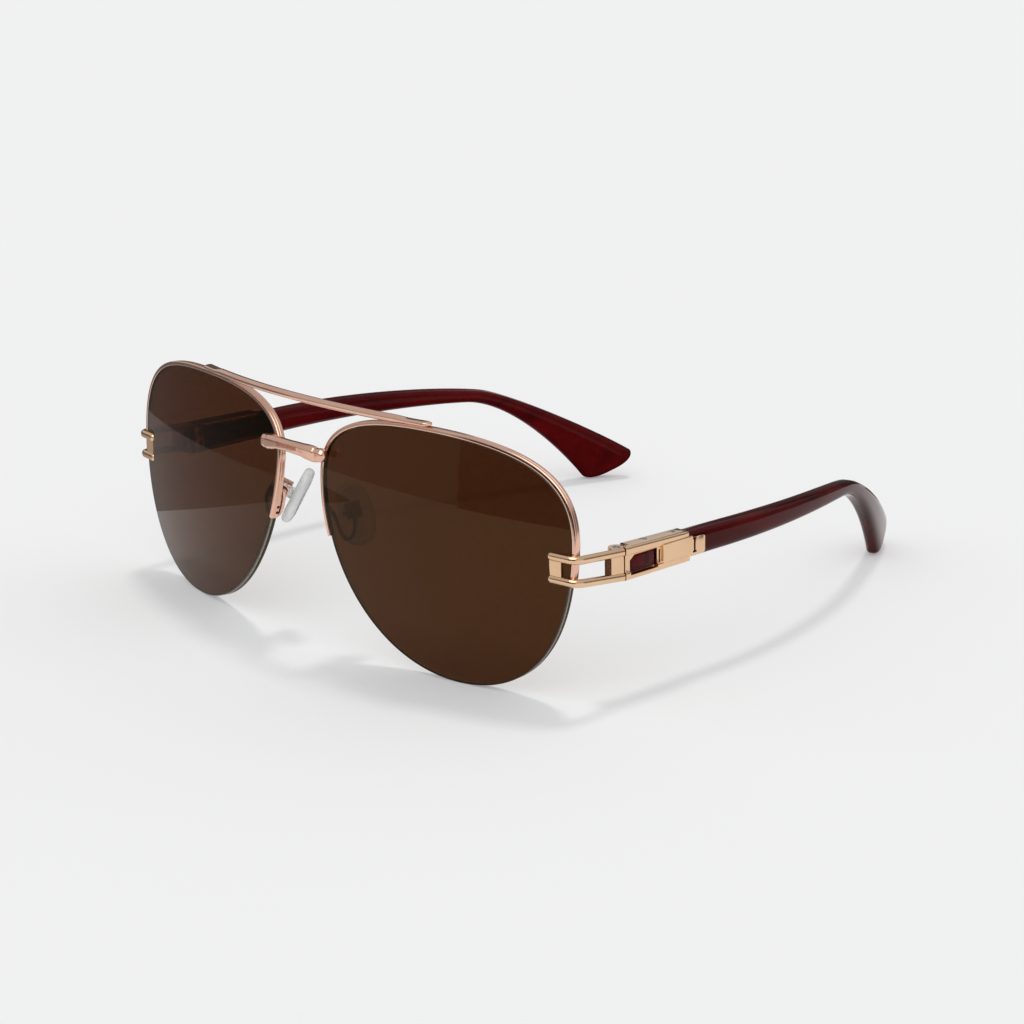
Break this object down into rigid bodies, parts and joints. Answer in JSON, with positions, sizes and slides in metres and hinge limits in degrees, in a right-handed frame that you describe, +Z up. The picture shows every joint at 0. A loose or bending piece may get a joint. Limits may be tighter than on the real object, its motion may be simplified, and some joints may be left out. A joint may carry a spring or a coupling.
{
  "type": "aviator sunglasses",
  "caption": "Semi-rimless aviator sunglasses with brown lenses, gold brow bar and bridge, adjustable nose pads and folding burgundy temples in slotted metal sleeves.",
  "frame": {"origin": "middle of the footprint of the opened glasses, on the surface that the lenses and temple tips stand on", "axes": "+Z up, +X towards the wearer's left, +Y from the lenses back towards the temple tips"},
  "size_m": [0.1438, 0.1428, 0.0543],
  "materials": {
    "rose_gold": "polished rose gold plate on the rims, brow bar, bridge and pad arms",
    "yellow_gold": "polished pale yellow gold plate on the end pieces and temple sleeves",
    "steel": "plain machined screws",
    "brown_lens": "glossy dark brown tinted polymer, slightly see-through",
    "nylon": "clear amber-tinted nylon thread",
    "silicone": "translucent greyish silicone",
    "pad_core": "pale stiff core seen through the pad",
    "burgundy_plastic": "polished deep burgundy, slightly translucent, darker towards the tips"
  },
  "bodies": {
    "front": {"bridge": "rose_gold", "brow_bar": "rose_gold", "rim_left": "rose_gold", "rim_right": "rose_gold", "lens_left": "brown_lens", "lens_right": "brown_lens", "nylon_thread_left": "nylon", "nylon_thread_right": "nylon", "pad_arm_left": "rose_gold", "pad_arm_right": "rose_gold", "pad_box_left": "rose_gold", "pad_box_right": "rose_gold", "pad_screw_left": "steel", "pad_screw_right": "steel", "end_piece_left": "yellow_gold", "end_piece_right": "yellow_gold", "hinge_screw_left": "steel", "hinge_screw_right": "steel"},
    "temple_left": {"temple_sleeve_left": "yellow_gold", "temple_panel_left": "yellow_gold", "temple_screw_front_left": "steel", "temple_screw_rear_left": "steel", "temple_arm_left": "burgundy_plastic"},
    "pad_left": {"pad_plate_left": "pad_core", "nose_pad_left": "silicone"},
    "temple_right": {"temple_sleeve_right": "yellow_gold", "temple_panel_right": "yellow_gold", "temple_screw_front_right": "steel", "temple_screw_rear_right": "steel", "temple_arm_right": "burgundy_plastic"},
    "pad_right": {"pad_plate_right": "pad_core", "nose_pad_right": "silicone"}
  },
  "joints": [
    {"name": "temple_left_fold", "type": "hinge", "parent": "front", "child": "temple_left", "pos_m": [0.0687, -0.04339, 0.02652], "axis": [0, 0, 1], "range_deg": [0, 84]},
    {"name": "temple_right_fold", "type": "hinge", "parent": "front", "child": "temple_right", "pos_m": [-0.0687, -0.04339, 0.02652], "axis": [0, 0, -1], "range_deg": [0, 74]},
    {"name": "pad_left_rock", "type": "hinge", "parent": "front", "child": "pad_left", "pos_m": [0.01174, -0.06283, 0.02994], "axis": [0.5602, 0.8067, 0.1879], "range_deg": [-8, 10]},
    {"name": "pad_right_rock", "type": "hinge", "parent": "front", "child": "pad_right", "pos_m": [-0.01174, -0.06283, 0.02994], "axis": [0.5602, -0.8067, -0.1879], "range_deg": [-8, 10]}
  ]
}
